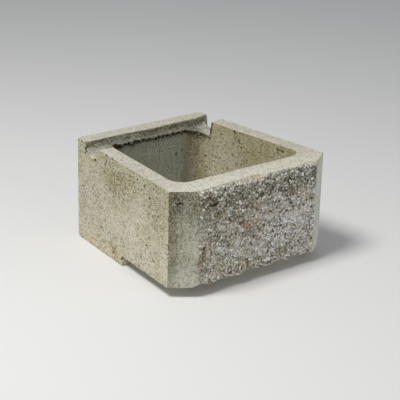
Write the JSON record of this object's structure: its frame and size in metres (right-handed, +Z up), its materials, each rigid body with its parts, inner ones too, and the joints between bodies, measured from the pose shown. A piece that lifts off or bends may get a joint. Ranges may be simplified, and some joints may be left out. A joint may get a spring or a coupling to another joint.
{
  "type": "concrete planter block",
  "caption": "Cast concrete wall block with an open planting cavity, a rough split front, slanted cheeks, a groove and lip across the rear of its top, and a hanging nose.",
  "frame": {"origin": "under the middle of the block's bounding box, level with the underside of the nose that it stands on", "axes": "+Z up; -Y is the side that the split front face looks to, +Y the rear with the lip; +X runs across the block, and the plane X = 0 halves it"},
  "size_m": [0.5, 0.5, 0.275],
  "materials": {
    "concrete": "matt pressed concrete, fine pores and sand grain on the cast faces, exposed aggregate on the split front"
  },
  "bodies": {
    "root": {"planter_block": "concrete"}
  },
  "joints": []
}
